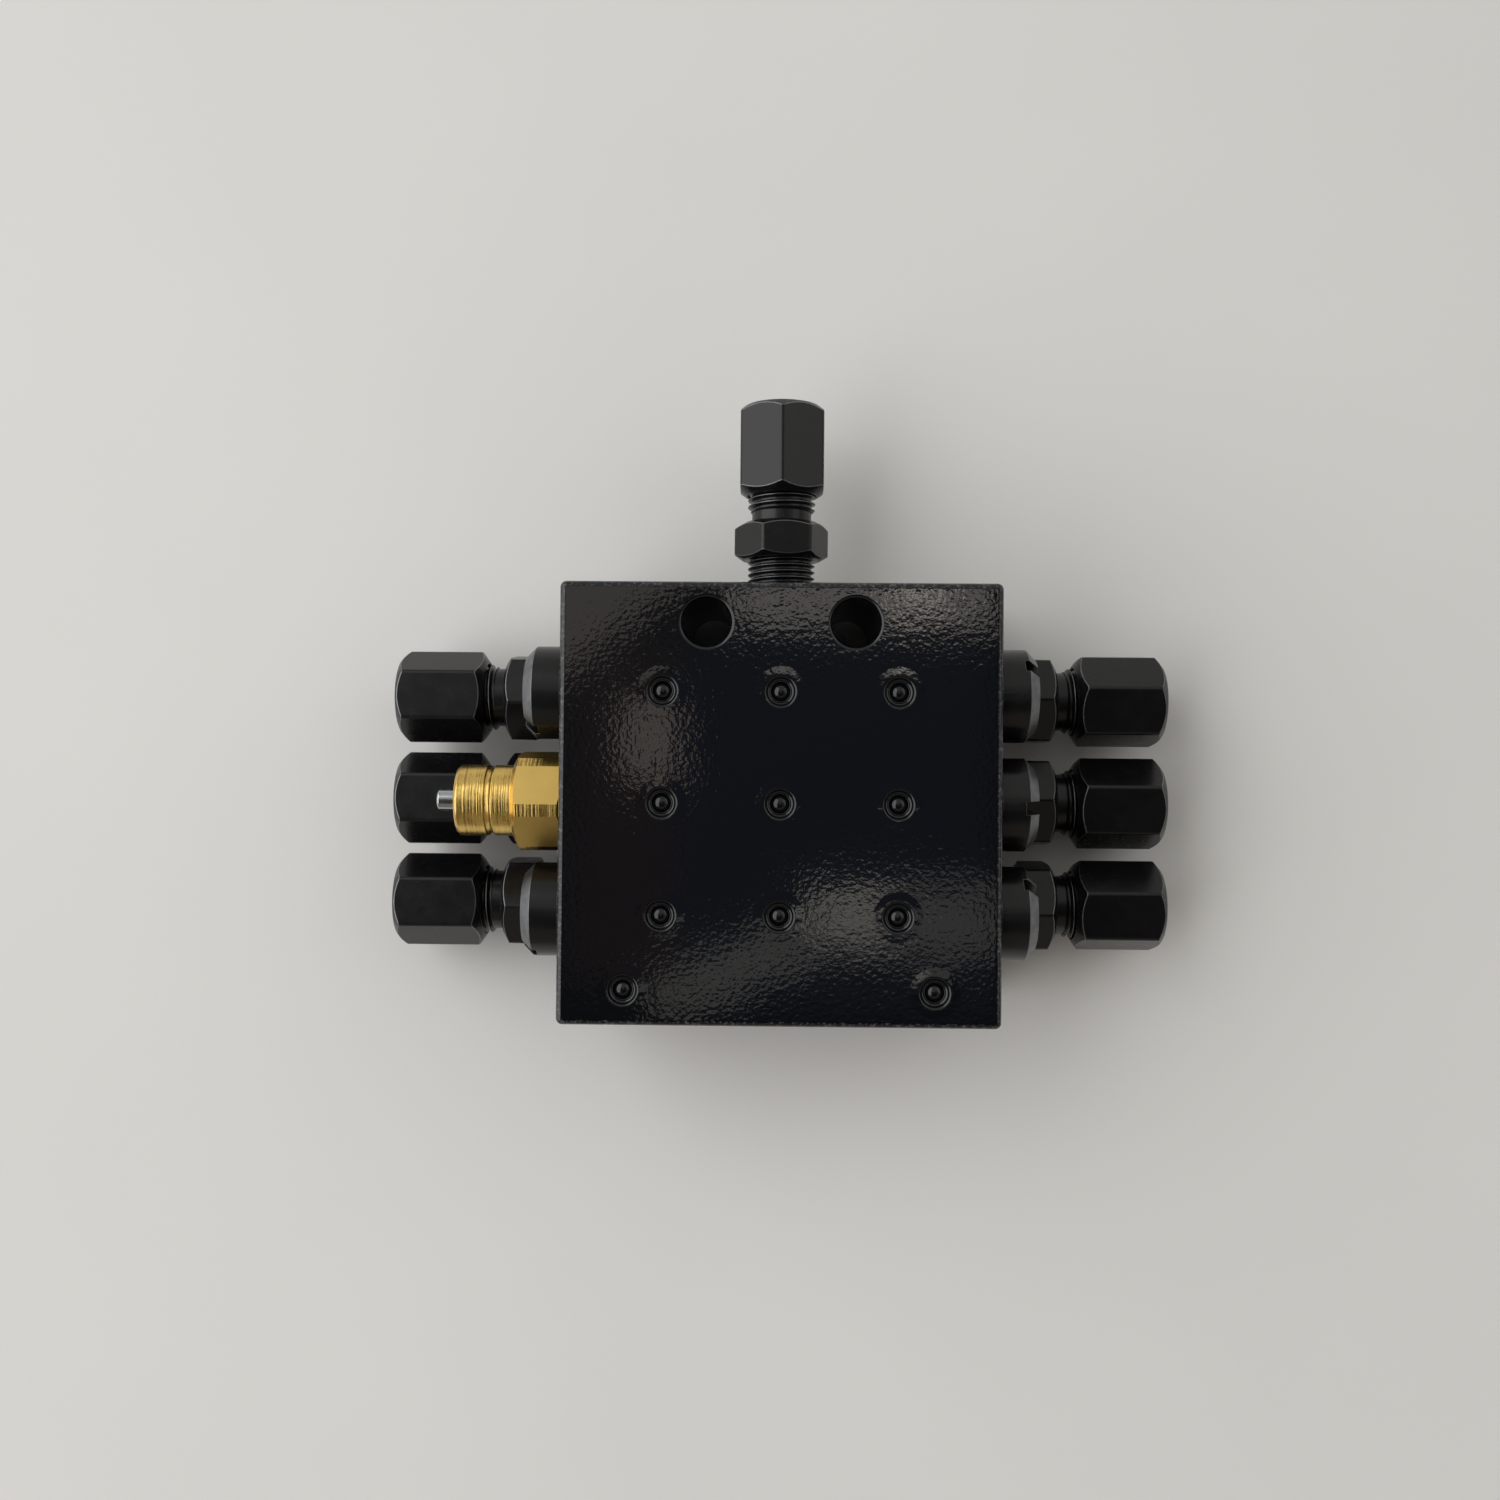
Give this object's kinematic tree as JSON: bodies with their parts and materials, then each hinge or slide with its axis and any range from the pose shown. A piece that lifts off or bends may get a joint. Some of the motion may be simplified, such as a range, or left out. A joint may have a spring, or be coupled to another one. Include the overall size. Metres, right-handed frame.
{
  "type": "lubricant divider block",
  "caption": "Square progressive grease divider block with a top inlet, side outlets in compression fittings, slotted bore plugs and a brass cycle indicator with a moving pin.",
  "frame": {"origin": "centre of the block's mounting face", "axes": "+X to the right outlets, +Y to the inlet, +Z out of the front face with the ball plugs"},
  "size_m": [0.113, 0.0872, 0.03],
  "materials": {
    "black_paint": "gloss black paint with orange peel",
    "black_steel": "black oxide, satin",
    "bright_steel": "ground bright steel",
    "brass": "turned brass",
    "rubber": "black seal rubber"
  },
  "bodies": {
    "block": {"divider_block": "black_paint", "ball_plug_top_left": "black_paint", "ball_plug_top_centre": "black_paint", "ball_plug_top_right": "black_paint", "ball_plug_middle_left": "black_paint", "ball_plug_middle_centre": "black_paint", "ball_plug_middle_right": "black_paint", "ball_plug_bottom_left": "black_paint", "ball_plug_bottom_centre": "black_paint", "ball_plug_bottom_right": "black_paint", "ball_plug_base_left": "black_paint", "ball_plug_base_right": "black_paint", "inlet_body": "black_steel", "outlet_left_top_body": "black_steel", "outlet_left_middle_body": "black_steel", "outlet_left_bottom_body": "black_steel", "outlet_right_top_body": "black_steel", "outlet_right_middle_body": "black_steel", "outlet_right_bottom_body": "black_steel", "inlet_nut": "black_steel", "outlet_left_top_nut": "black_steel", "outlet_left_middle_nut": "black_steel", "outlet_left_bottom_nut": "black_steel", "outlet_right_top_nut": "black_steel", "outlet_right_middle_nut": "black_steel", "outlet_right_bottom_nut": "black_steel", "inlet_ferrule": "bright_steel", "outlet_left_top_ferrule": "bright_steel", "outlet_left_middle_ferrule": "bright_steel", "outlet_left_bottom_ferrule": "bright_steel", "outlet_right_top_ferrule": "bright_steel", "outlet_right_middle_ferrule": "bright_steel", "outlet_right_bottom_ferrule": "bright_steel", "screw_plug_left_top": "black_steel", "screw_plug_left_bottom": "black_steel", "screw_plug_right_top": "black_steel", "screw_plug_right_middle": "black_steel", "screw_plug_right_bottom": "black_steel", "plug_ring_left_top": "rubber", "plug_ring_left_bottom": "rubber", "plug_ring_right_top": "rubber", "plug_ring_right_middle": "rubber", "plug_ring_right_bottom": "rubber", "housing_ring": "rubber", "pin_seal": "rubber", "indicator_housing": "brass"},
    "top_piston": {"metering_piston_top": "bright_steel"},
    "indicator_piston": {"metering_piston_middle": "bright_steel", "indicator_pin": "bright_steel"},
    "bottom_piston": {"metering_piston_bottom": "bright_steel"}
  },
  "joints": [
    {"name": "top_piston_slide", "type": "slide", "parent": "block", "child": "top_piston", "axis": [1, 0, 0], "range_m": [0, 0.006]},
    {"name": "indicator_slide", "type": "slide", "parent": "block", "child": "indicator_piston", "axis": [-1, 0, 0], "range_m": [0, 0.006]},
    {"name": "bottom_piston_slide", "type": "slide", "parent": "block", "child": "bottom_piston", "axis": [-1, 0, 0], "range_m": [0, 0.006]}
  ]
}
